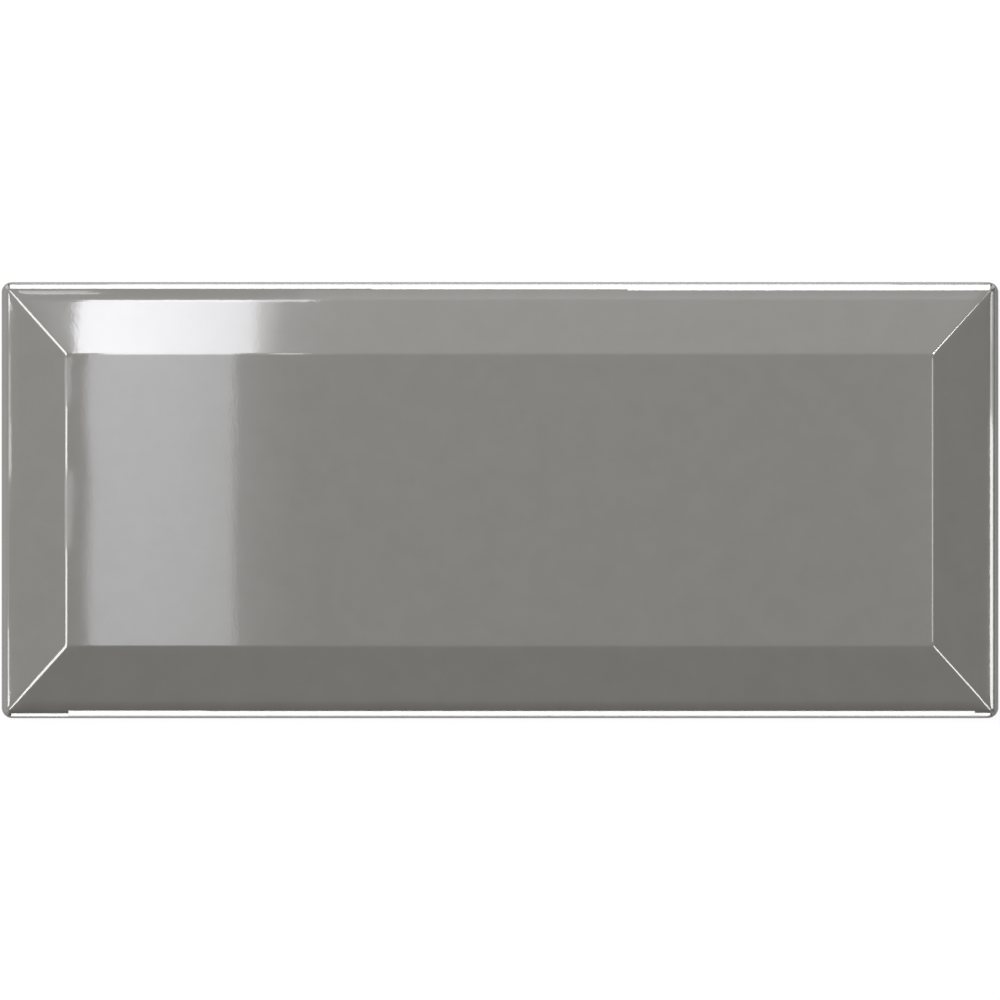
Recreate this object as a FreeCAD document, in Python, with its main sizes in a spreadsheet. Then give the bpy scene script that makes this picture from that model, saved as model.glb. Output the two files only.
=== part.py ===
import FreeCAD, Part
import os
import Sketcher

# Bevelled subway wall tile: one dust-pressed, glazed and fired piece of white clay body.
# It lies on its back with the glazed face up. The origin is the centre of the bedding plane, which is
# the plane of the border and ribs on the back. +X runs along the length, +Y across the width towards
# the upper long side, and +Z out of the glazed face. All lengths are in millimetres, angles in degrees.

# Each row is a driving size: its name, its value, and what it measures on the tile.
SIZES = (
    ("tile_length", 248.0, "overall length"),
    ("tile_width", 108.6, "overall width"),
    ("tile_thickness", 8.0, "bedding plane to the flat field of the face"),
    ("bevel_fall", 2.8, "drop of the bevels from the field to their foot, before the rim is rolled"),
    ("end_bevel_width", 16.4, "plan width of the bevels at the two short ends"),
    ("side_bevel_width", 18.0, "plan width of the bevels along the two long sides"),
    ("arris_radius", 5.0, "softening of the mitres and of the ridge round the field"),
    ("rim_radius", 2.6, "rolled rim between the bevels and the upright edges"),
    ("corner_margin", 0.1, "radius of the upright corners beyond that of the rim, which rolls round them"),
    ("foot_chamfer", 0.6, "relief round the back edge"),
    ("key_cell", 12.0, "side of one square recess in the keyed back"),
    ("key_rib", 2.4, "rib between two recesses"),
    ("key_depth", 0.6, "depth of the recesses"),
    ("key_draft", 20.0, "draft of the recess walls"),
    ("key_border", 6.0, "least width of the plain border round the recesses"),
)

TOUCH = 1e-4  # two heights or positions closer than this are the same


def size_sheet(doc):
    """The spreadsheet that drives every feature, with one alias for each size."""
    sheet = doc.addObject("Spreadsheet::Sheet", "sizes")
    for row, (alias, value, meaning) in enumerate(SIZES, start=1):
        sheet.set(f"A{row}", meaning)
        sheet.set(f"B{row}", str(value))
        sheet.setAlias(f"B{row}", alias)
    doc.recompute()
    return sheet


def origin_plane(body, role):
    """The body's own base plane with that role, such as XY_Plane."""
    return next(plane for plane in body.Origin.OriginFeatures if plane.Role == role)


def new_sketch(body, name, plane_role):
    """An empty sketch on one of the body's base planes."""
    sketch = body.newObject("Sketcher::SketchObject", name)
    sketch.AttachmentSupport = [(origin_plane(body, plane_role), "")]
    sketch.MapMode = "FlatFace"
    return sketch


def draw_loop(sketch, corners):
    """Draws a closed loop of straight lines through the corners, and returns the first line's number."""
    first = sketch.GeometryCount
    count = len(corners)
    for index in range(count):
        start = FreeCAD.Vector(*corners[index], 0)
        end = FreeCAD.Vector(*corners[(index + 1) % count], 0)
        sketch.addGeometry(Part.LineSegment(start, end), False)
    for index in range(count):
        following = first + (index + 1) % count
        sketch.addConstraint(Sketcher.Constraint("Coincident", first + index, 2, following, 1))
    return first


def bind(sketch, name, constraint, expression):
    """Adds a named dimension to the sketch and ties it to the size sheet."""
    number = sketch.addConstraint(constraint)
    sketch.renameConstraint(number, name)
    sketch.setExpression(f"Constraints.{name}", expression)


def feature_on_edges(body, kind, name, wanted):
    """A fillet or chamfer on those edges of the body so far for which wanted(edge) is true."""
    base = body.Tip
    names = [f"Edge{number}" for number, edge in enumerate(base.Shape.Edges, start=1) if wanted(edge)]
    feature = body.newObject(f"PartDesign::{kind}", name)
    feature.Base = (base, names)
    return feature


def edge_heights(edge):
    """The lowest and highest end of an edge."""
    heights = [vertex.Z for vertex in edge.Vertexes]
    return min(heights), max(heights)


def is_upright(edge):
    """True for a vertical straight edge."""
    low, high = edge_heights(edge)
    return high - low > TOUCH and abs(edge.Length - (high - low)) < TOUCH


def press_blank(body, sheet):
    """The blank: a slab with rounded upright corners, as thick as the finished field."""
    outline = new_sketch(body, "outline", "XY_Plane")
    half_length = sheet.tile_length / 2
    half_width = sheet.tile_width / 2
    corners = (
        (-half_length, -half_width),
        (half_length, -half_width),
        (half_length, half_width),
        (-half_length, half_width),
    )
    first = draw_loop(outline, corners)
    outline.addConstraint(
        [
            Sketcher.Constraint("Horizontal", first),
            Sketcher.Constraint("Vertical", first + 1),
            Sketcher.Constraint("Horizontal", first + 2),
            Sketcher.Constraint("Vertical", first + 3),
            Sketcher.Constraint("Symmetric", first, 1, first + 1, 2, -1, 1),
        ]
    )
    across = Sketcher.Constraint("DistanceX", first, 1, first, 2, sheet.tile_length)
    bind(outline, "length", across, "sizes.tile_length")
    up = Sketcher.Constraint("DistanceY", first + 1, 1, first + 1, 2, sheet.tile_width)
    bind(outline, "width", up, "sizes.tile_width")

    slab = body.newObject("PartDesign::Pad", "slab")
    slab.Profile = outline
    slab.setExpression("Length", "sizes.tile_thickness")
    body.Document.recompute()

    corners_rounded = feature_on_edges(body, "Fillet", "rounded_corners", is_upright)
    corners_rounded.setExpression("Radius", "sizes.rim_radius + sizes.corner_margin")
    body.Document.recompute()


def cut_bevels(body, sheet, name, plane_role, span, bevel):
    """Cuts the two facing bevels that run across one direction: a mirrored pair of wedges taken off the
    slab from the ridge of the field down to the foot at the outer edge."""
    profile = new_sketch(body, f"{name}_profile", plane_role)
    half_span = getattr(sheet, span) / 2
    width = getattr(sheet, bevel)
    top = sheet.tile_thickness
    fall = sheet.bevel_fall
    wedges = []
    for side in (1, -1):
        ridge_point = (side * (half_span - width), top)
        foot_point = (side * half_span, top - fall)
        outer_point = (side * half_span, top)
        wedges.append(draw_loop(profile, (ridge_point, foot_point, outer_point)))
    right, left = wedges
    profile.addConstraint(
        [
            Sketcher.Constraint("Vertical", right + 1),
            Sketcher.Constraint("Horizontal", right + 2),
            Sketcher.Constraint("Symmetric", right, 1, left, 1, -2),
            Sketcher.Constraint("Symmetric", right + 1, 1, left + 1, 1, -2),
            Sketcher.Constraint("Symmetric", right + 2, 1, left + 2, 1, -2),
        ]
    )
    reach = Sketcher.Constraint("DistanceX", -1, 1, right + 2, 1, half_span)
    bind(profile, "half_span", reach, f"sizes.{span} / 2")
    field = Sketcher.Constraint("DistanceY", -1, 1, right + 2, 1, top)
    bind(profile, "field_height", field, "sizes.tile_thickness")
    plan = Sketcher.Constraint("DistanceX", right, 1, right + 2, 1, width)
    bind(profile, "bevel_width", plan, f"sizes.{bevel}")
    drop = Sketcher.Constraint("DistanceY", right + 1, 1, right + 1, 2, fall)
    bind(profile, "fall", drop, "sizes.bevel_fall")

    before = body.Tip.Shape.Volume
    wedge_cut = body.newObject("PartDesign::Pocket", name)
    wedge_cut.Profile = profile
    wedge_cut.SideType = "Symmetric"
    wedge_cut.Type = "ThroughAll"
    body.Document.recompute()
    if wedge_cut.Shape.Volume >= before:
        raise RuntimeError(f"{name} cut nothing")


def soften_arrises(body, sheet):
    """Rounds the four ridges of the field and the four mitres, where the glaze pulls back in firing."""

    def is_arris(edge):
        return edge_heights(edge)[1] > sheet.tile_thickness - TOUCH

    arrises = feature_on_edges(body, "Fillet", "soft_arrises", is_arris)
    arrises.setExpression("Radius", "sizes.arris_radius")
    body.Document.recompute()


def roll_rim(body):
    """Rolls the rim: the edge between the bevels and the upright walls, all the way round."""
    shape = body.Tip.Shape

    def is_wall(face):
        return face.BoundBox.ZMin < TOUCH < face.BoundBox.ZMax

    def is_rim(edge):
        walls = [face for face in shape.ancestorsOfType(edge, Part.Face) if is_wall(face)]
        return len(walls) == 1 and edge_heights(edge)[0] > TOUCH

    rim = feature_on_edges(body, "Fillet", "rolled_rim", is_rim)
    rim.setExpression("Radius", "sizes.rim_radius")
    body.Document.recompute()


def relieve_foot(body):
    """Takes the sharp edge off the back, so that the tile beds without chipping."""

    def is_foot(edge):
        return edge_heights(edge)[1] < TOUCH

    foot = feature_on_edges(body, "Chamfer", "foot_relief", is_foot)
    foot.ChamferType = "Equal distance"
    foot.setExpression("Size", "sizes.foot_chamfer")
    body.Document.recompute()


def key_back(body, sheet):
    """Presses the key into the back: a grid of shallow square recesses with drafted walls, for the
    adhesive to grip. As many fit in as leave at least the plain border."""
    pitch = "(sizes.key_cell + sizes.key_rib)"
    columns = f"floor((sizes.tile_length - 2 * sizes.key_border + sizes.key_rib) / {pitch})"
    rows = f"floor((sizes.tile_width - 2 * sizes.key_border + sizes.key_rib) / {pitch})"
    cell = new_sketch(body, "key_outline", "XY_Plane")
    side = sheet.key_cell
    step = side + sheet.key_rib
    inner_length = sheet.tile_length - 2 * sheet.key_border + sheet.key_rib
    inner_width = sheet.tile_width - 2 * sheet.key_border + sheet.key_rib
    reach_x = (inner_length // step * step - sheet.key_rib) / 2
    reach_y = (inner_width // step * step - sheet.key_rib) / 2
    corners = (
        (-reach_x, -reach_y),
        (side - reach_x, -reach_y),
        (side - reach_x, side - reach_y),
        (-reach_x, side - reach_y),
    )
    first = draw_loop(cell, corners)
    cell.addConstraint(
        [
            Sketcher.Constraint("Horizontal", first),
            Sketcher.Constraint("Vertical", first + 1),
            Sketcher.Constraint("Horizontal", first + 2),
            Sketcher.Constraint("Vertical", first + 3),
            Sketcher.Constraint("Equal", first, first + 1),
        ]
    )
    width = Sketcher.Constraint("DistanceX", first, 1, first, 2, side)
    bind(cell, "cell_side", width, "sizes.key_cell")
    left = Sketcher.Constraint("DistanceX", first, 1, -1, 1, reach_x)
    bind(cell, "reach_x", left, f"({columns} * {pitch} - sizes.key_rib) / 2")
    low = Sketcher.Constraint("DistanceY", first, 1, -1, 1, reach_y)
    bind(cell, "reach_y", low, f"({rows} * {pitch} - sizes.key_rib) / 2")

    before = body.Tip.Shape.Volume
    recess = body.newObject("PartDesign::Pocket", "key_recess")
    recess.Profile = cell
    recess.Reversed = True
    recess.setExpression("Length", "sizes.key_depth")
    recess.setExpression("TaperAngle", "-sizes.key_draft")
    body.Document.recompute()
    if recess.Shape.Volume >= before:
        raise RuntimeError("the key recess cut nothing")

    grid = body.newObject("PartDesign::LinearPattern", "key_grid")
    grid.Originals = [recess]
    grid.Direction = (cell, ["H_Axis"])
    grid.Direction2 = (cell, ["V_Axis"])
    grid.setExpression("Length", f"({columns} - 1) * {pitch}")
    grid.setExpression("Length2", f"({rows} - 1) * {pitch}")
    grid.setExpression("Occurrences", columns)
    grid.setExpression("Occurrences2", rows)
    body.Tip = grid
    body.Document.recompute()


def wall_tile(doc, sheet):
    """The whole tile, in the order in which its form is made."""
    body = doc.addObject("PartDesign::Body", "wall_tile")
    body.Label = "wall_tile"
    press_blank(body, sheet)
    cut_bevels(body, sheet, "side_bevels", "YZ_Plane", "tile_width", "side_bevel_width")
    cut_bevels(body, sheet, "end_bevels", "XZ_Plane", "tile_length", "end_bevel_width")
    soften_arrises(body, sheet)
    roll_rim(body)
    relieve_foot(body)
    key_back(body, sheet)
    return body


def check(doc, body):
    """Stops the script where a feature failed or the tile isn't one sound solid."""
    for item in doc.Objects:
        if "Invalid" in item.State or "Error" in item.State:
            raise RuntimeError(f"{item.Name} failed: {item.State}")
    shape = body.Shape
    if shape.isNull() or not shape.isValid() or len(shape.Solids) != 1:
        raise RuntimeError(f"{body.Label} is not one valid solid")


document = FreeCAD.newDocument("wall_tile")
tile = wall_tile(document, size_sheet(document))
document.recompute()
check(document, tile)
os.makedirs("parts", exist_ok=True)
tile.Shape.exportStep(os.path.join("parts", f"{tile.Label}.step"))
box = tile.Shape.BoundBox
print(f"{tile.Label}: {box.XLength:.3f} x {box.YLength:.3f} x {box.ZLength:.3f} mm")
print(f"volume {tile.Shape.Volume:.1f} mm3, {len(tile.Shape.Faces)} faces")
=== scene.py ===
import math

import bpy
import numpy as np
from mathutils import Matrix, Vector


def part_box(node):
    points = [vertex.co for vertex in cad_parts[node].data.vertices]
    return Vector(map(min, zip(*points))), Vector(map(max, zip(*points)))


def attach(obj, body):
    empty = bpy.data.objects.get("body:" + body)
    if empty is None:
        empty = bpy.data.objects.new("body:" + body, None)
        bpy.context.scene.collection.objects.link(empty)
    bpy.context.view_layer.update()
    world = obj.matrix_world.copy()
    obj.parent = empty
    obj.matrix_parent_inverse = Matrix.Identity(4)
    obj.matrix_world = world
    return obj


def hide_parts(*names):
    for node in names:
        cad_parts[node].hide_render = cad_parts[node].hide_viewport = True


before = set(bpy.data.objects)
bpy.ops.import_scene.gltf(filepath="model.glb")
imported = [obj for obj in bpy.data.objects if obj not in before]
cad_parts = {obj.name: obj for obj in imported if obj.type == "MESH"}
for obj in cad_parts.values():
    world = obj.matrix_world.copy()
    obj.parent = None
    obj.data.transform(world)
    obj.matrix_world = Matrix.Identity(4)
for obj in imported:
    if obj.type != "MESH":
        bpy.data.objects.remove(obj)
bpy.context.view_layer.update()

# The body of the tile
# One piece of white clay dust, pressed in a steel die and fired. Its face has a flat raised field inside
# four mitred bevels, its rim is rolled, and the back is keyed with shallow squares for the adhesive.

MM = 0.001
tile_low, tile_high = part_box("wall_tile")
half_length = (tile_high[0] - tile_low[0]) / 2
half_width = (tile_high[1] - tile_low[1]) / 2
thickness = tile_high[2]

end_bevel = 16.4 * MM
side_bevel = 18.0 * MM
bevel_fall = 2.8 * MM
arris_radius = 5.0 * MM
rim_radius = 2.6 * MM
corner_radius = rim_radius + 0.1 * MM
foot_relief = 0.6 * MM

field_half_length = half_length - end_bevel
field_half_width = half_width - side_bevel
end_slope = bevel_fall / end_bevel
side_slope = bevel_fall / side_bevel
ridge_blend = arris_radius * ((end_slope + side_slope) / 2) ** 2 / 2
mitre_blend = arris_radius * (end_slope**2 + side_slope**2) / 2


def lower_of(first, second, blend):
    """The lower of two heights, rounded where they meet: it takes off h * h / (4 * blend), where h is how far
    the two heights differ by less than the blend. Two slopes that differ by s get a radius 2 * blend / s**2."""
    overlap = np.maximum(blend - np.abs(first - second), 0.0)
    return np.minimum(first, second) - overlap * overlap / (4 * blend)


def crown(x, y, softness=1.0):
    """Height of the pressed face: the lowest of the flat field and the planes of the end and side bevels,
    with the mitres and then the ridge round the field rounded off, by the arris radius times the softness."""
    end_plane = thickness - (np.abs(x) - field_half_length) * end_slope
    side_plane = thickness - (np.abs(y) - field_half_width) * side_slope
    bevels = lower_of(end_plane, side_plane, softness * mitre_blend)
    return lower_of(bevels, thickness, softness * ridge_blend)


# The glaze levels out as it melts, so the face is never quite flat: long low waves, a few microns high.
wave_height = 0.0006 * MM
wave_lengths = (23 * MM, 31 * MM, 38 * MM, 47 * MM, 59 * MM, 74 * MM)
wave_turns = (0.4, 2.3, 4.1, 1.2, 5.0, 3.1)


def glaze_waves(x, y):
    """Sum of long sine waves, each along its own direction, shifted down so that it never rises above
    the pressed height."""
    total = np.zeros(np.shape(x))
    for turn, length in zip(wave_turns, wave_lengths):
        along = x * math.cos(turn) + y * math.sin(turn)
        total = total + np.sin(2 * math.pi * along / length + 3.0 * turn)
    return wave_height * (total - len(wave_lengths))


# It also draws back from every arris over a few millimetres, and the bevels begin to turn down a little
# before they reach the rim.
draw_back_softness = 6.0
draw_back_share = 0.02
turn_down_width = 4.7 * MM
turn_down_depth = 0.14 * MM
turn_down_power = 1.5


def turn_down(x, y):
    """How far the bevels sink below their planes near the outline: the depth times a power of the share of
    the turn-down's width that is left to the nearest edge."""
    to_edge = lower_of(half_length - np.abs(x), half_width - np.abs(y), rim_radius / 2)
    left = np.clip(1 - to_edge / turn_down_width, 0.0, 1.0)
    return turn_down_depth * left**turn_down_power


def face_height(x, y):
    """The crown with its tight arrises, mixed with a little of a much softer one, less the turn-down at the
    outline, plus the long waves of the melt."""
    mixed = (1 - draw_back_share) * crown(x, y) + draw_back_share * crown(x, y, draw_back_softness)
    return mixed - turn_down(x, y) + glaze_waves(x, y)


# The outline is cut into columns. Each has a place on the core, which is the outline less its corner
# radius, and a direction that points out of the tile.
side_step = 1.6 * MM
corner_columns = 28
rim_row_count = 20
core = np.array((half_length - corner_radius, half_width - corner_radius))


def outline_columns():
    """Columns counter-clockwise from the right end: the place on the core as a share of its half sizes, the
    outward direction, and a running number that grows by one from the middle of a corner to the next."""
    shares = []
    directions = []
    runs = []
    corners = np.array(((1, -1), (1, 1), (-1, 1), (-1, -1)), float)
    arc = corner_radius * math.pi / 4
    for side in range(4):
        start = corners[side]
        end = corners[(side + 1) % 4]
        outward = np.array(((1, 0), (0, 1), (-1, 0), (0, -1))[side], float)
        length = float(np.abs((end - start) * core).sum())
        count = round(length / side_step)
        along = np.linspace(0, 1, count, endpoint=False)
        shares.append(start + (end - start) * along[:, None])
        directions.append(np.tile(outward, (count, 1)))
        runs.append(side + (arc + along * length) / (length + 2 * arc))
        turn = np.linspace(0, math.pi / 2, corner_columns, endpoint=False)
        heading = math.atan2(outward[1], outward[0]) + turn
        shares.append(np.tile(end, (corner_columns, 1)))
        directions.append(np.stack((np.cos(heading), np.sin(heading)), axis=1))
        following = (end * core - corners[(side + 2) % 4] * core)
        reach = np.where(turn < math.pi / 4, length, float(np.abs(following).sum())) + 2 * arc
        runs.append(side + 1 + (corner_radius * turn - arc) / reach)
    return np.concatenate(shares), np.concatenate(directions), np.concatenate(runs)


column_share, column_out, column_run = outline_columns()


def inset_ring(inset):
    """The outline moved inwards by the inset: the core's point plus what is left of the corner radius."""
    left = corner_radius - np.broadcast_to(inset, column_run.shape)
    return column_share * core + left[:, None] * column_out


# The melt flattens the rolled rim a little, and each mitre runs on over it as a crease, nearly as far as
# the outline.
rim_reach = 2.9 * MM
rim_rise = 2.1 * MM
crease_radius = 0.3 * MM
crease_start = 1.9 * MM


def rim_ring(inset):
    """The outline moved inwards by the inset, with a corner radius that shrinks to the crease's own as the
    square of the share of the way that is left to where the crease is full."""
    inset = np.broadcast_to(inset, column_run.shape)
    left = np.clip(1 - inset / crease_start, 0.0, 1.0)
    radius = crease_radius + (corner_radius - crease_radius) * left * left
    reach = core + (corner_radius - inset - radius)[:, None]
    return column_share * reach + radius[:, None] * column_out


def inner_ring(half_x, half_y, radius):
    """A smaller rounded rectangle, cut into the same columns as the outline."""
    small_core = np.array((half_x - radius, half_y - radius))
    return column_share * small_core + radius * column_out


def height_on(ring):
    """The face's height over each point of a ring."""
    return face_height(ring[:, 0], ring[:, 1])


def rim_rows():
    """Rows of the rolled rim for every column, from the top of the upright edge to the foot of the bevel. In
    the upright plane through the column the rim is part of an ellipse that touches the edge, and that
    touches the face where the face's own slope equals the ellipse's."""
    middle = 0.75 * rim_reach
    step = 0.1 * rim_reach
    rise = height_on(rim_ring(middle + step)) - height_on(rim_ring(middle - step))
    last = np.arctan(rise / (2 * step) * rim_reach / rim_rise)
    touch = rim_ring(rim_reach * (1 - np.sin(last)))
    centre = height_on(touch) - rim_rise * np.cos(last)
    rows = []
    for share in np.linspace(0, 1, rim_row_count):
        angle = math.pi / 2 + (last - math.pi / 2) * share
        ring = rim_ring(rim_reach * (1 - np.sin(angle)))
        rows.append(np.column_stack((ring, centre + rim_rise * np.cos(angle))))
    return rows


def graded(count, grade=4.0):
    """Shares from 0 to 1 with steps that are fine at both ends, along a hyperbolic tangent."""
    share = np.linspace(0, 1, count)
    return 0.5 * (1 + np.tanh(grade * (share - 0.5)) / math.tanh(grade / 2))


# The glaze runs a little way down the upright edges and stops in an uneven line, where the bare body is
# set back by the thickness of the glaze.
glaze_stop = 1.9 * MM
glaze_stop_waver = 0.16 * MM
glaze_step = 0.1 * MM
glaze_lip = 0.12 * MM
bevel_row_count = 30
ridge_row_count = 11
ridge_inside = 1.2 * MM
arris_corner = 1.0 * MM


def glaze_line():
    """Height at which the glaze stops, for every column: whole waves round the tile, so that it closes."""
    turn = column_run * math.pi / 2
    waver = np.zeros(len(turn))
    for count, shift in ((7, 0.3), (17, 1.9), (41, 4.0), (67, 2.2)):
        waver += np.sin(count * turn + shift)
    return glaze_stop + glaze_stop_waver * waver / 2


def wall_rows():
    """Rows of the bare edge and the glaze's lip, from the back edge upwards."""
    stop = glaze_line()
    steps = (
        (foot_relief, 0.0),
        (glaze_step, foot_relief),
        (glaze_step, stop - glaze_lip),
        (0.3 * glaze_step, stop),
        (0.0, stop + glaze_lip),
    )
    rows = []
    for inset, height in steps:
        level = np.broadcast_to(height, column_run.shape)
        rows.append(np.column_stack((inset_ring(inset), level)))
    return rows


def bevel_and_ridge_rows(tangent):
    """Rows from the foot of the bevel to the ridge and on into the field: straight lines in plan between
    three rings, with the height taken from the face."""
    ridge = inner_ring(field_half_length, field_half_width, arris_corner)
    inside = inner_ring(field_half_length - ridge_inside, field_half_width - ridge_inside, arris_corner)
    plans = [tangent + (ridge - tangent) * share for share in graded(bevel_row_count)[1:]]
    plans += [ridge + (inside - ridge) * share for share in np.linspace(0, 1, ridge_row_count)[1:]]
    return [np.column_stack((plan, height_on(plan))) for plan in plans]


def ring_quads(first_row, row_count, first_vertex):
    """Quads between neighbouring rows of columns, closed round the tile."""
    columns = len(column_run)
    row = np.arange(first_row, first_row + row_count - 1)[:, None]
    here = np.arange(columns)[None, :]
    beside = (here + 1) % columns
    low = first_vertex + row * columns
    quads = np.stack((low + here, low + beside, low + columns + beside, low + columns + here), axis=-1)
    return quads.reshape(-1, 4)


def grid_loop(columns, rows):
    """Vertex numbers round a grid, counter-clockwise from its lower right corner, and the running number of
    each, which grows by one from corner to corner."""
    index = np.arange(columns * rows).reshape(rows, columns)
    sides = (index[:-1, -1], index[-1, :0:-1], index[:0:-1, 0], index[0, :-1])
    runs = [side + np.linspace(0, 1, len(part), endpoint=False) for side, part in enumerate(sides)]
    return np.concatenate(sides), np.concatenate(runs)


def stitch(outer, outer_run, inner, inner_run):
    """Triangles between two closed loops that have different numbers of points: both are walked round
    together in the order of their running numbers, and each step makes one triangle."""
    outer_start = np.argmin(outer_run % 4)
    inner_start = np.argmin(inner_run % 4)
    outer = np.roll(outer, -outer_start)
    inner = np.roll(inner, -inner_start)
    outer_next = np.roll(np.roll(outer_run % 4, -outer_start), -1)
    inner_next = np.roll(np.roll(inner_run % 4, -inner_start), -1)
    outer_next[-1] += 4
    inner_next[-1] += 4
    steps = np.concatenate((outer_next, inner_next))
    is_outer = np.concatenate((np.ones(len(outer), bool), np.zeros(len(inner), bool)))[
        np.argsort(steps, kind="stable")
    ]
    outer_at = np.cumsum(is_outer) - is_outer
    inner_at = np.cumsum(~is_outer) - ~is_outer
    here_outer = outer[outer_at % len(outer)]
    here_inner = inner[inner_at % len(inner)]
    ahead = np.where(is_outer, outer[(outer_at + 1) % len(outer)], inner[(inner_at + 1) % len(inner)])
    return np.stack((here_outer, ahead, here_inner), axis=-1)


def grid_quads(columns, rows, first_vertex):
    """Quads of a grid, counter-clockwise seen from above."""
    index = first_vertex + np.arange(columns * rows).reshape(rows, columns)
    quads = np.stack((index[:-1, :-1], index[:-1, 1:], index[1:, 1:], index[1:, :-1]), axis=-1)
    return quads.reshape(-1, 4)


# The key of the back: squares pressed in with drafted walls, in as many rows as the border leaves room for.
key_cell = 12.0 * MM
key_pitch = 14.4 * MM
key_depth = 0.6 * MM
key_wall = 0.22 * MM
key_border = 6.0 * MM
key_margin = 0.8 * MM
key_wall_steps = 5


def key_comb(half_size):
    """Lines across one direction of the back, and how deep the key is pressed along each: nothing on a rib,
    all of it on a cell's floor, and an eased slope between them."""
    count = math.floor((2 * half_size - 2 * key_border + key_pitch - key_cell) / key_pitch)
    reach = (count * key_pitch - (key_pitch - key_cell)) / 2
    slope = np.linspace(0, 1, key_wall_steps)
    ease = slope * slope * (3 - 2 * slope)
    places = [np.array((-reach - key_margin,))]
    depths = [np.zeros(1)]
    for number in range(count):
        start = -reach + number * key_pitch
        floor = start + np.linspace(0.15, 0.85, 4) * key_cell
        places += [start + slope * key_wall, floor, start + key_cell - (1 - slope) * key_wall]
        depths += [ease, np.ones(4), ease[::-1]]
    places.append(np.array((reach + key_margin,)))
    depths.append(np.zeros(1))
    return np.concatenate(places), np.concatenate(depths)


def make_tile():
    """Puts the tile's surface together: the ring of edge, rim, bevels and ridges, the field inside it and
    the keyed back under it, as one closed mesh with the glazed faces first."""
    columns = len(column_run)
    wall = wall_rows()
    rim = rim_rows()
    bevel = bevel_and_ridge_rows(rim[-1][:, :2])
    rows = wall + rim + bevel
    ring = np.concatenate(rows)

    inside = np.array((field_half_length, field_half_width)) - ridge_inside - key_margin
    field_x = np.linspace(-inside[0], inside[0], 140)
    field_y = np.linspace(-inside[1], inside[1], 46)
    grid_x, grid_y = np.meshgrid(field_x, field_y)
    field = np.column_stack((grid_x.ravel(), grid_y.ravel(), face_height(grid_x, grid_y).ravel()))

    key_x, deep_x = key_comb(half_length)
    key_y, deep_y = key_comb(half_width)
    back_x, back_y = np.meshgrid(key_x, key_y)
    back_z = key_depth * np.outer(deep_y, deep_x)
    back = np.column_stack((back_x.ravel(), back_y.ravel(), back_z.ravel()))

    vertices = np.concatenate((ring, field, back))
    field_first = len(ring)
    back_first = field_first + len(field)
    lip_row = 3
    glazed_ring = ring_quads(lip_row, len(rows) - lip_row, 0)
    bare_ring = ring_quads(0, lip_row + 1, 0)
    column_index = np.arange(columns)

    loop, loop_run = grid_loop(len(field_x), len(field_y))
    last_row = (len(rows) - 1) * columns + column_index
    field_border = stitch(last_row, column_run, field_first + loop, loop_run)
    field_quads = grid_quads(len(field_x), len(field_y), field_first)

    loop, loop_run = grid_loop(len(key_x), len(key_y))
    back_border = stitch(column_index, column_run, back_first + loop, loop_run)[:, ::-1]
    back_quads = grid_quads(len(key_x), len(key_y), back_first)[:, ::-1]

    faces = glazed_ring.tolist() + field_border.tolist() + field_quads.tolist()
    glazed_count = len(faces)
    faces += bare_ring.tolist() + back_border.tolist() + back_quads.tolist()
    mesh = bpy.data.meshes.new("glazed_tile")
    mesh.from_pydata(vertices.tolist(), [], faces)
    material_index = np.ones(len(faces), np.int32)
    material_index[:glazed_count] = 0
    mesh.polygons.foreach_set("material_index", material_index)
    mesh.polygons.foreach_set("use_smooth", np.ones(len(faces), bool))
    mesh.validate()
    mesh.update()
    mesh.set_sharp_from_angle(angle=math.radians(40))
    tile = bpy.data.objects.new("glazed_tile", mesh)
    bpy.context.scene.collection.objects.link(tile)
    return tile


# The glaze is a warm grey glass, fired to a high gloss. It has faint clouds where it lies thicker, and a
# fine ripple like orange peel that shows where a bright reflection ends.

glaze_colour = (0.164, 0.160, 0.145, 1.0)
glaze_cloud_colour = (0.173, 0.1685, 0.1545, 1.0)


def new_material(name):
    """An empty node material, its tree and its Principled shader."""
    material = bpy.data.materials.new(name)
    material.use_nodes = True
    return material, material.node_tree, material.node_tree.nodes["Principled BSDF"]


def noise(tree, coordinates, scale, detail, roughness=0.5, distortion=0.0):
    """Fractal noise on the given coordinates, with its scale in features per metre."""
    node = tree.nodes.new("ShaderNodeTexNoise")
    node.inputs["Scale"].default_value = scale
    node.inputs["Detail"].default_value = detail
    node.inputs["Roughness"].default_value = roughness
    node.inputs["Distortion"].default_value = distortion
    tree.links.new(coordinates, node.inputs["Vector"])
    return node.outputs["Fac"]


def colour_between(tree, factor, first, second, low=0.0, high=1.0):
    """Runs from the first colour to the second as the factor goes from low to high."""
    ramp = tree.nodes.new("ShaderNodeValToRGB")
    ramp.color_ramp.elements[0].position = low
    ramp.color_ramp.elements[0].color = first
    ramp.color_ramp.elements[1].position = high
    ramp.color_ramp.elements[1].color = second
    tree.links.new(factor, ramp.inputs["Fac"])
    return ramp.outputs["Color"]


def bump(tree, height, distance, strength=1.0, under=None):
    """Bump by a height that runs from 0 to 1 over the distance in metres."""
    node = tree.nodes.new("ShaderNodeBump")
    node.inputs["Distance"].default_value = distance
    node.inputs["Strength"].default_value = strength
    tree.links.new(height, node.inputs["Height"])
    if under is not None:
        tree.links.new(under, node.inputs["Normal"])
    return node.outputs["Normal"]


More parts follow.
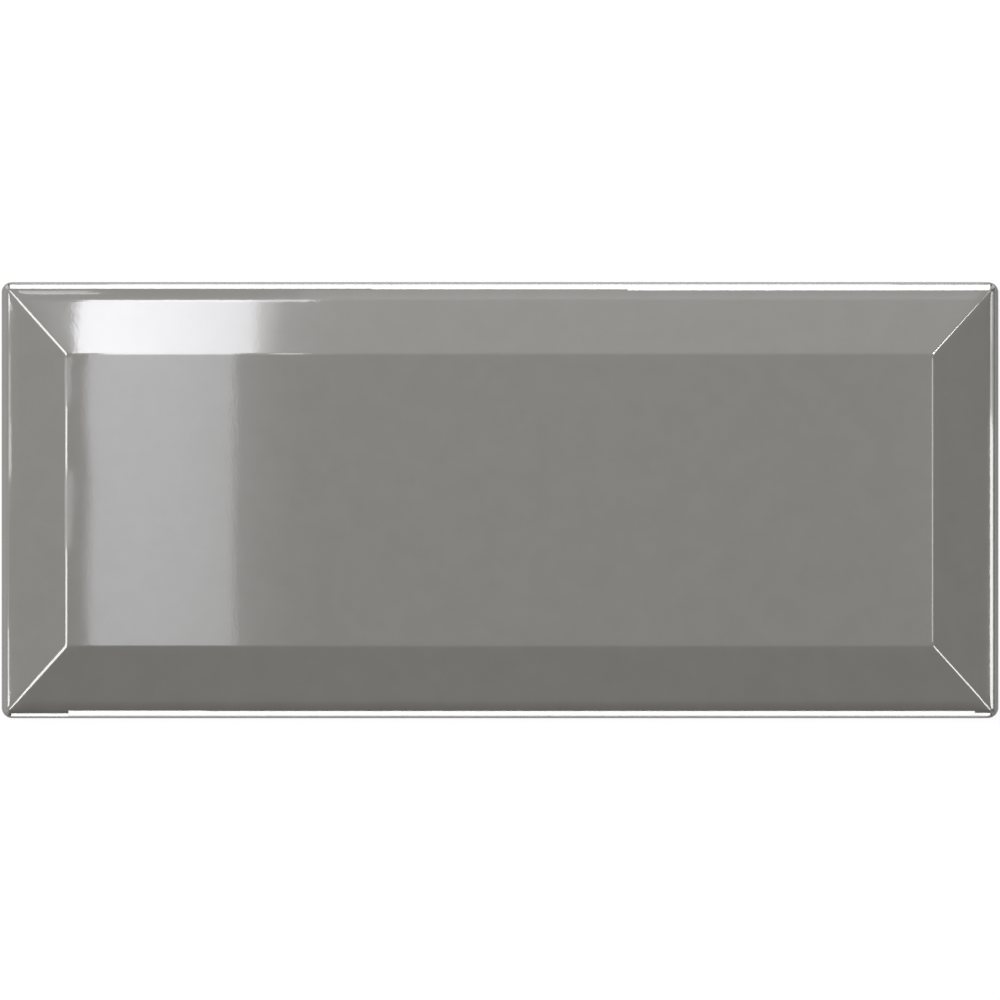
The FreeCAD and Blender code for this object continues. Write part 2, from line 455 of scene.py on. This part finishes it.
def glaze_material():
    """Warm grey glossy glaze: clouds in the colour, a sharp clear top over a slightly softer gloss."""
    material, tree, shader = new_material("warm_grey_glaze")
    place = tree.nodes.new("ShaderNodeTexCoord").outputs["Object"]
    clouds = noise(tree, place, 130.0, 3.0, 0.55)
    colour = colour_between(tree, clouds, glaze_colour, glaze_cloud_colour, 0.35, 0.65)
    tree.links.new(colour, shader.inputs["Base Color"])
    peel = bump(tree, noise(tree, place, 1500.0, 1.0, 0.5), 0.0002 * MM)
    streaks = tree.nodes.new("ShaderNodeMapping")
    streaks.vector_type = "TEXTURE"
    streaks.inputs["Rotation"].default_value = (0.0, 0.0, math.radians(45))
    streaks.inputs["Scale"].default_value = (1.0, 2.6, 1.0)
    tree.links.new(place, streaks.inputs["Vector"])
    peel = bump(tree, noise(tree, streaks.outputs["Vector"], 3200.0, 0.5, 0.5), 0.0007 * MM, 1.0, peel)
    shader.inputs["Roughness"].default_value = 0.07
    shader.inputs["IOR"].default_value = 1.5
    shader.inputs["Specular IOR Level"].default_value = 0.28
    shader.inputs["Coat Weight"].default_value = 1.0
    shader.inputs["Coat Roughness"].default_value = 0.012
    shader.inputs["Coat IOR"].default_value = 1.55
    tree.links.new(peel, shader.inputs["Normal"])
    tree.links.new(peel, shader.inputs["Coat Normal"])
    return material


# The bare body shows on the lower part of the edges and on the back: matt white clay, a little creamy, with
# the grain of the pressed dust and a few darker specks.

bisque_light = (0.66, 0.61, 0.53, 1.0)
bisque_dark = (0.55, 0.49, 0.41, 1.0)
speck_colour = (0.32, 0.25, 0.18, 1.0)


def bisque_material():
    """Fired white body: chalky colour with soft patches, specks and a fine grain."""
    material, tree, shader = new_material("bare_body")
    place = tree.nodes.new("ShaderNodeTexCoord").outputs["Object"]
    patches = colour_between(tree, noise(tree, place, 90.0, 4.0, 0.6), bisque_dark, bisque_light, 0.35, 0.62)
    speck_mask = colour_between(
        tree, noise(tree, place, 2600.0, 1.0), (0, 0, 0, 1), (1, 1, 1, 1), 0.71, 0.75
    )
    mix = tree.nodes.new("ShaderNodeMixRGB")
    mix.inputs["Color2"].default_value = speck_colour
    tree.links.new(speck_mask, mix.inputs["Fac"])
    tree.links.new(patches, mix.inputs["Color1"])
    tree.links.new(mix.outputs["Color"], shader.inputs["Base Color"])
    shader.inputs["Roughness"].default_value = 0.88
    grain = bump(tree, noise(tree, place, 3500.0, 3.0, 0.6), 0.04 * MM, 0.5)
    tree.links.new(grain, shader.inputs["Normal"])
    return material


tile = make_tile()
tile.data.materials.append(glaze_material())
tile.data.materials.append(bisque_material())
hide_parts("wall_tile")
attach(tile, "root")

# The setting
# The tile lies on a pale floor, which has an opening under it that the tile hides, so that the back is lit
# when it is seen from below. The floor is bright for the camera and for reflections, and keeps the shadow.

floor_half = 3.0
opening_inset = 6 * MM
floor_glow = 0.85
floor_glow_strength = 1.08
floor_colour = (0.9, 0.9, 0.9, 1.0)


def floor_material():
    """A glow of plain white over a matt white, and clear from below."""
    material, tree, shader = new_material("pale_floor")
    nodes = tree.nodes
    shader.inputs["Base Color"].default_value = floor_colour
    shader.inputs["Roughness"].default_value = 1.0
    shader.inputs["Specular IOR Level"].default_value = 0.0
    glow = nodes.new("ShaderNodeEmission")
    glow.inputs["Strength"].default_value = floor_glow_strength
    ray = nodes.new("ShaderNodeLightPath")
    seen = nodes.new("ShaderNodeMath")
    seen.operation = "MAXIMUM"
    tree.links.new(ray.outputs["Is Camera Ray"], seen.inputs[0])
    tree.links.new(ray.outputs["Is Glossy Ray"], seen.inputs[1])
    share = nodes.new("ShaderNodeMath")
    share.operation = "MULTIPLY"
    share.inputs[1].default_value = floor_glow
    tree.links.new(seen.outputs[0], share.inputs[0])
    lit = nodes.new("ShaderNodeMixShader")
    tree.links.new(share.outputs[0], lit.inputs["Fac"])
    tree.links.new(shader.outputs[0], lit.inputs[1])
    tree.links.new(glow.outputs[0], lit.inputs[2])
    clear = nodes.new("ShaderNodeBsdfTransparent")
    geometry = nodes.new("ShaderNodeNewGeometry")
    sided = nodes.new("ShaderNodeMixShader")
    tree.links.new(geometry.outputs["Backfacing"], sided.inputs["Fac"])
    tree.links.new(lit.outputs[0], sided.inputs[1])
    tree.links.new(clear.outputs[0], sided.inputs[2])
    tree.links.new(sided.outputs[0], nodes["Material Output"].inputs["Surface"])
    return material


def make_floor():
    """A square frame round the opening: four corners outside, four inside, and a quad for each side."""
    signs = ((-1, -1), (1, -1), (1, 1), (-1, 1))
    opening = (half_length - opening_inset, half_width - opening_inset)
    outside = [(a * floor_half, b * floor_half, 0.0) for a, b in signs]
    inside = [(a * opening[0], b * opening[1], 0.0) for a, b in signs]
    faces = [(k, (k + 1) % 4, 4 + (k + 1) % 4, 4 + k) for k in range(4)]
    mesh = bpy.data.meshes.new("floor")
    mesh.from_pydata(outside + inside, [], faces)
    floor = bpy.data.objects.new("floor", mesh)
    bpy.context.scene.collection.objects.link(floor)
    floor.data.materials.append(floor_material())
    return floor


make_floor()

# A soft sky and one broad lamp from the upper left light the colour of the glaze at a plain level. The sky
# is darker to the right and below, has a dark gap low on those two sides, and a pale wall stands at each
# end.

# Each part is an axis, where along it the change starts and ends, and the levels before and after it.
sky_parts = (
    ("X", 0.60, -0.20, 0.495, 1.093),
    ("X", -0.01, -0.06, 1.0, 0.82),
    ("X", -0.20, -0.36, 1.0, 1.20),
    ("X", 0.46, 0.42, 0.35, 1.0),
    ("Y", -0.48, 0.72, 0.62, 2.81),
    ("Y", 0.36, 0.38, 1.0, 0.85),
    ("Y", -0.400, -0.335, 0.03, 1.0),
    ("Z", 0.77, 0.90, 0.05, 1.0),
)
wall_parts = (("X", -0.49, -0.55, 0.0, 1.75), ("X", 0.86, 0.92, 0.0, 1.9))
wall_width = (0.45, 0.30, 0.0, 1.0)
lamp_place = (-1.25, 1.55, 1.67)
lamp_size = 1.6
lamp_power = 28.0


def sky_part(tree, place, start, end, start_level, end_level):
    """A level that runs smoothly from one value to another as the place goes from start to end."""
    level = tree.nodes.new("ShaderNodeMapRange")
    level.interpolation_type = "SMOOTHSTEP"
    level.inputs["From Min"].default_value = start
    level.inputs["From Max"].default_value = end
    level.inputs["To Min"].default_value = start_level
    level.inputs["To Max"].default_value = end_level
    tree.links.new(place, level.inputs["Value"])
    return level.outputs[0]


def math_node(tree, operation, *values):
    """One arithmetic step on one or two outputs."""
    node = tree.nodes.new("ShaderNodeMath")
    node.operation = operation
    for socket, value in zip(node.inputs, values):
        tree.links.new(value, socket)
    return node.outputs[0]


def make_sky():
    """World light by direction: the product of the parts, plus the walls at both ends. The camera sees
    plain white."""
    world = bpy.data.worlds.new("soft_sky")
    world.use_nodes = True
    bpy.context.scene.world = world
    tree = world.node_tree
    axes = tree.nodes.new("ShaderNodeSeparateXYZ")
    tree.links.new(tree.nodes.new("ShaderNodeTexCoord").outputs["Generated"], axes.inputs[0])
    parts = [sky_part(tree, axes.outputs[axis], *levels) for axis, *levels in sky_parts]
    sky = parts[0]
    for part in parts[1:]:
        sky = math_node(tree, "MULTIPLY", sky, part)
    left_wall, right_wall = [sky_part(tree, axes.outputs[axis], *levels) for axis, *levels in wall_parts]
    width = sky_part(tree, math_node(tree, "ABSOLUTE", axes.outputs["Y"]), *wall_width)
    walls = math_node(tree, "MULTIPLY", math_node(tree, "ADD", left_wall, right_wall), width)
    sky = math_node(tree, "ADD", sky, walls)
    white = tree.nodes.new("ShaderNodeMix")
    tree.links.new(tree.nodes.new("ShaderNodeLightPath").outputs["Is Camera Ray"], white.inputs["Factor"])
    tree.links.new(sky, white.inputs["A"])
    white.inputs["B"].default_value = 1.0
    background = tree.nodes["Background"]
    background.inputs["Color"].default_value = (1.0, 1.0, 1.0, 1.0)
    tree.links.new(white.outputs["Result"], background.inputs["Strength"])


def add_lamp(name, shape, size_x, size_y, power, colour=(1.0, 1.0, 1.0)):
    """A rectangular or elliptical area lamp, facing down."""
    data = bpy.data.lights.new(name, "AREA")
    data.shape = shape
    data.size = size_x
    data.size_y = size_y
    data.energy = power
    data.color = colour
    lamp = bpy.data.objects.new(name, data)
    bpy.context.scene.collection.objects.link(lamp)
    return lamp


make_sky()
soft_lamp = add_lamp("soft_lamp", "RECTANGLE", lamp_size, lamp_size, lamp_power)
soft_lamp.location = lamp_place
soft_lamp.rotation_euler = (
    -math.atan2(lamp_place[1], math.hypot(lamp_place[0], lamp_place[2])),
    math.atan2(lamp_place[0], lamp_place[2]),
    0.0,
)
soft_lamp.visible_glossy = False

# Bright cards hang round the tile for its gloss to show: the two panes of a window, reflected in the field
# and the upper bevel, a broken strip on either side for the ridges, mitres and end rims, and a long one off
# each long side for its rim. They light nothing else.

card_height = 2.0
card_distance = 3 * MM
card_foot_reach = 1.5 * MM
card_foot_height = 4.8 * MM
window_tint = (0.95, 0.95, 1.0)


def reflected_only(lamp):
    """Keeps a lamp out of everything but reflections."""
    lamp.visible_diffuse = False
    lamp.visible_transmission = False
    lamp.visible_volume_scatter = False


def fade_card(data, fade_x, fade_y):
    """Lets a card's light change evenly along its two sides: each pair gives the levels at the low and the
    high end, and the two multiply."""
    data.use_nodes = True
    tree = data.node_tree
    emission = next(node for node in tree.nodes if node.bl_idname == "ShaderNodeEmission")
    place = tree.nodes.new("ShaderNodeSeparateXYZ")
    tree.links.new(tree.nodes.new("ShaderNodeNewGeometry").outputs["Parametric"], place.inputs[0])
    levels = []
    for axis, (low_level, high_level) in (("X", fade_x), ("Y", fade_y)):
        level = tree.nodes.new("ShaderNodeMapRange")
        level.inputs["To Min"].default_value = low_level
        level.inputs["To Max"].default_value = high_level
        tree.links.new(place.outputs[axis], level.inputs["Value"])
        levels.append(level.outputs[0])
    tree.links.new(math_node(tree, "MULTIPLY", *levels), emission.inputs["Strength"])


def ceiling_card(name, left, right, low, high, radiance, fade_x=(1, 1), fade_y=(1, 1), tint=(1, 1, 1)):
    """A level card overhead, between two lines across X and two across Y."""
    size_x = right - left
    size_y = high - low
    lamp = add_lamp(name, "RECTANGLE", size_x, size_y, radiance * math.pi * size_x * size_y, tint)
    lamp.location = ((left + right) / 2, (low + high) / 2, card_height)
    reflected_only(lamp)
    fade_card(lamp.data, fade_x, fade_y)


def leaning_card(name, turn, left, right, nearest, furthest, radiance):
    """A card that stands off the tile and faces it: where it is in degrees counter-clockwise from +Y, its
    left and right edge as seen from behind the tile, and its two tilts in degrees from straight up."""
    tilt = math.radians(nearest + furthest) / 2
    size_x = right - left
    size_y = 2 * card_distance * math.tan(math.radians(furthest - nearest) / 2)
    lamp = add_lamp(name, "RECTANGLE", size_x, size_y, radiance * math.pi * size_x * size_y)
    middle = (left + right) / 2
    away = card_distance * math.sin(tilt)
    heading = math.radians(turn)
    foot_x = -round(math.sin(heading)) * core[0] - card_foot_reach * math.sin(heading)
    foot_y = round(math.cos(heading)) * core[1] + card_foot_reach * math.cos(heading)
    lamp.location = (
        foot_x + middle * math.cos(heading) - away * math.sin(heading),
        foot_y + middle * math.sin(heading) + away * math.cos(heading),
        card_foot_height + card_distance * math.cos(tilt),
    )
    lamp.rotation_euler = (-tilt, 0.0, heading)
    lamp.visible_camera = False
    reflected_only(lamp)


ceiling_card("window_lower_pane", -0.2043, -0.1320, -0.25, 0.25, 4.9, (1, 0.78), (0.54, 1), window_tint)
ceiling_card("window_lower_glow", -0.1320, -0.098, -0.25, 0.25, 0.4, (1, 0))
ceiling_card("window_middle_pane", -0.199, -0.131, 0.25, 0.50, 11.0, (1, 0.7), tint=window_tint)
ceiling_card("window_upper_pane", -0.217, -0.1243, 0.50, 0.750, 11.8, (1, 0.64), tint=window_tint)
ceiling_card("window_upper_glow", -0.1243, -0.112, 0.50, 0.750, 3.8, (1, 0.05))
ceiling_card("window_side_pane", -0.113, -0.097, 0.25, 0.50, 4.7)
ceiling_card("window_top_frame", -0.214, -0.125, 0.750, 0.771, 11.6, tint=window_tint)
ceiling_card("window_top_slit", -0.125, -0.095, 0.750, 0.775, 5.8)
ceiling_card("high_glow", -0.105, 0.27, 0.776, 0.93, 0.5)
ceiling_card("window_high_slit", -0.262, -0.208, 0.856, 0.870, 5.0)
ceiling_card("window_high_glow", -0.262, -0.213, 0.870, 0.889, 3.4)

left_ridge_panes = (
    (0.047, 0.078, -0.91, -0.215, 2.1),
    (0.014, 0.047, -0.78, -0.38, 10.5),
    (-0.024, 0.014, -0.91, -0.215, 2.0),
    (-0.078, -0.024, -0.78, -0.38, 9.5),
)
for number, (low, high, left, right, radiance) in enumerate(left_ridge_panes, start=1):
    ceiling_card(f"left_ridge_pane_{number}", left, right, low, high, radiance)
ceiling_card("upper_left_mitre_card", -0.75, -0.43, 0.16, 0.60, 9.5)
ceiling_card("lower_left_mitre_card", -0.78, -0.42, -0.60, -0.078, 10.5)

left_rim_panes = (
    (0.1045, 0.25, -1.45, -1.09, 10.0),
    (0.1005, 0.1045, -1.42, -1.13, 8.5),
    (0.0965, 0.1005, -1.40, -1.145, 5.0),
    (0.0935, 0.0965, -1.40, -1.15, 2.6),
    (0.040, 0.078, -1.38, -1.11, 3.2),
    (0.012, 0.040, -1.38, -1.10, 4.8),
    (-0.103, -0.072, -1.88, -1.25, 6.0),
    (-0.25, -0.103, -1.80, -1.11, 9.0),
)
for number, (low, high, left, right, radiance) in enumerate(left_rim_panes, start=1):
    ceiling_card(f"left_rim_pane_{number}", left, right, low, high, radiance)

ceiling_card("right_ridge_card", 0.238, 0.46, -0.078, 0.078, 3.9)
ceiling_card("upper_right_mitre_card", 0.40, 0.565, 0.25, 0.467, 23.0)
ceiling_card("upper_right_corner_card", 0.565, 0.70, 0.467, 0.60, 4.0)
ceiling_card("lower_right_mitre_card", 0.49, 0.69, -0.66, -0.24, 10.0)

right_rim_panes = (
    (0.088, 0.30, 1.13, 2.0, 6.2),
    (0.045, 0.088, 1.13, 2.0, 4.6),
    (-0.30, 0.045, 1.115, 2.2, 11.0),
    (-0.30, 0.30, 2.2, 2.8, 3.5),
)
for number, (low, high, left, right, radiance) in enumerate(right_rim_panes, start=1):
    ceiling_card(f"right_rim_pane_{number}", left, right, low, high, radiance)

rim_cards = (
    ("upper_rim_card", 0, -0.1221, 0.1221, 20.7, 79.4, 13.0),
    ("upper_rim_far_card", 0, -0.0978, 0.0978, 79.4, 88.3, 5.5),
    ("upper_rim_low_card", 0, -0.1221, 0.1221, 88.3, 91.8, 4.0),
    ("upper_rim_near_card", 0, -0.0318, 0.1221, 12.5, 18.5, 13.0),
    ("upper_rim_side_card", 0, 0.0318, 0.1221, 1.1, 12.6, 13.0),
    ("upper_left_corner_card", 40, -0.0015, 0.0015, 24.9, 91.1, 4.5),
    ("upper_right_rim_corner_card", -40, -0.0015, 0.0015, 24.9, 91.1, 4.0),
    ("lower_rim_card", 180, -0.1182, 0.1074, 18.0, 80.5, 13.0),
    ("lower_rim_near_card", 180, 0.0728, 0.1074, 11.4, 15.3, 13.0),
    ("lower_rim_end_card", 180, -0.1221, -0.1182, 41.1, 80.6, 13.0),
    ("lower_rim_far_card", 180, -0.1216, 0.1074, 80.6, 88.7, 6.0),
    ("lower_rim_low_card", 180, -0.1221, 0.1221, 88.7, 91.8, 4.0),
    ("lower_rim_side_card", 180, 0.1074, 0.1217, 48.3, 91.3, 13.0),
    ("lower_left_corner_card", 140, -0.0015, 0.0015, 24.9, 91.1, 1.6),
    ("lower_right_corner_card", -140, -0.0015, 0.0015, 24.9, 91.1, 1.3),
)
for name, turn, left, right, nearest, furthest, radiance in rim_cards:
    leaning_card(name, turn, left, right, nearest, furthest, radiance)

# A little way off the long sides the white floor is lit past white, and the outer side of the rim shows it.
floor_strip_height = 0.1 * MM
floor_strips = (
    ("upper_near_floor_strip", 1, 1 * MM, 30 * MM, 0.8),
    ("upper_floor_strip", 1, 30 * MM, 250 * MM, 4.0),
    ("lower_floor_strip", -1, 30 * MM, 250 * MM, 4.6),
)
for name, side, nearest, furthest, radiance in floor_strips:
    size_x = 2 * half_length
    size_y = furthest - nearest
    strip = add_lamp(name, "RECTANGLE", size_x, size_y, radiance * math.pi * size_x * size_y)
    strip.location = (0.0, side * (half_width + (nearest + furthest) / 2), floor_strip_height)
    strip.rotation_euler = (math.pi, 0.0, 0.0)
    strip.visible_camera = False
    reflected_only(strip)

# The camera hangs straight above the tile with a long lens, and the tile fills the picture's width.

camera_height = 2.0
picture_width = 2 * half_length / 0.9968
edge_top = 3.0 * MM
camera_data = bpy.data.cameras.new("camera")
camera_data.sensor_width = 36.0
camera_data.lens = camera_data.sensor_width * (camera_height - edge_top) / picture_width
camera = bpy.data.objects.new("camera", camera_data)
camera.location = (0, 0, camera_height)
bpy.context.scene.collection.objects.link(camera)
bpy.context.scene.camera = camera
bpy.context.scene.view_settings.view_transform = "Standard"
